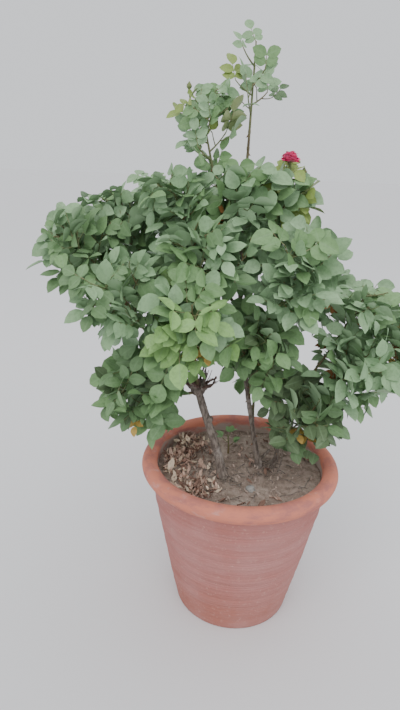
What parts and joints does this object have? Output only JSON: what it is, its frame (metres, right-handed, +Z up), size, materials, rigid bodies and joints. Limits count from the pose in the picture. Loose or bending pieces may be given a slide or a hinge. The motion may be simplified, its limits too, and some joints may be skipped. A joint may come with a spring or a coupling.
{
  "type": "potted rose bush",
  "caption": "Leafy rose bush with an open, many-stemmed crown and one small bloom, growing in a round tapered clay pot filled with dry soil.",
  "frame": {"origin": "centre of the pot's flat underside", "axes": "+Z up the pot's own axis, +X to the viewer's right in the picture, +Y away from the viewer"},
  "size_m": [0.6821, 0.4347, 1.0192],
  "materials": {
    "terracotta": "matte unglazed clay with a pale dusty bloom",
    "soil": "dry crumbly soil with leaf litter",
    "bark": "rough grey-brown bark",
    "cane": "smooth brown-green cane with prickles",
    "young_stem": "smooth green stem",
    "leaf": "soft-sheened grey-green leaves",
    "young_leaf": "soft-sheened yellow-green leaves"
  },
  "bodies": {
    "root": {"pot": "terracotta", "soil": "soil", "sucker": "young_stem", "trunk_left": "bark", "trunk_right": "bark", "stem_thin": "bark", "bough_back_centre": "cane", "bough_back_left": "cane", "bough_back_low": "cane", "bough_back_right": "cane", "bough_centre": "cane", "bough_crown_top": "cane", "bough_far_left": "cane", "bough_front_centre": "cane", "bough_low_left": "cane", "bough_low_mid": "cane", "bough_low_right": "cane", "bough_mid_left": "cane", "bough_right": "cane", "bough_right_edge": "cane", "bough_right_mid": "cane", "bough_right_top": "cane", "bough_spire": "cane", "bough_tall_tip": "cane", "bough_upper_left": "cane", "bough_upper_mid": "cane", "bough_upper_right": "cane", "leaves_back_centre": "leaf", "leaves_back_left": "leaf", "leaves_back_low": "leaf", "leaves_back_right": "leaf", "leaves_centre": "leaf", "leaves_crown_top": "leaf", "leaves_far_left": "leaf", "leaves_front_centre": "leaf", "leaves_low_left": "leaf", "leaves_low_mid": "leaf", "leaves_low_right": "leaf", "leaves_mid_left": "leaf", "leaves_right": "leaf", "leaves_right_edge": "leaf", "leaves_right_mid": "leaf", "leaves_right_top": "leaf", "leaves_spire": "young_leaf", "leaves_tall_tip": "young_leaf", "leaves_upper_left": "leaf", "leaves_upper_mid": "leaf", "leaves_upper_right": "leaf"}
  },
  "joints": []
}
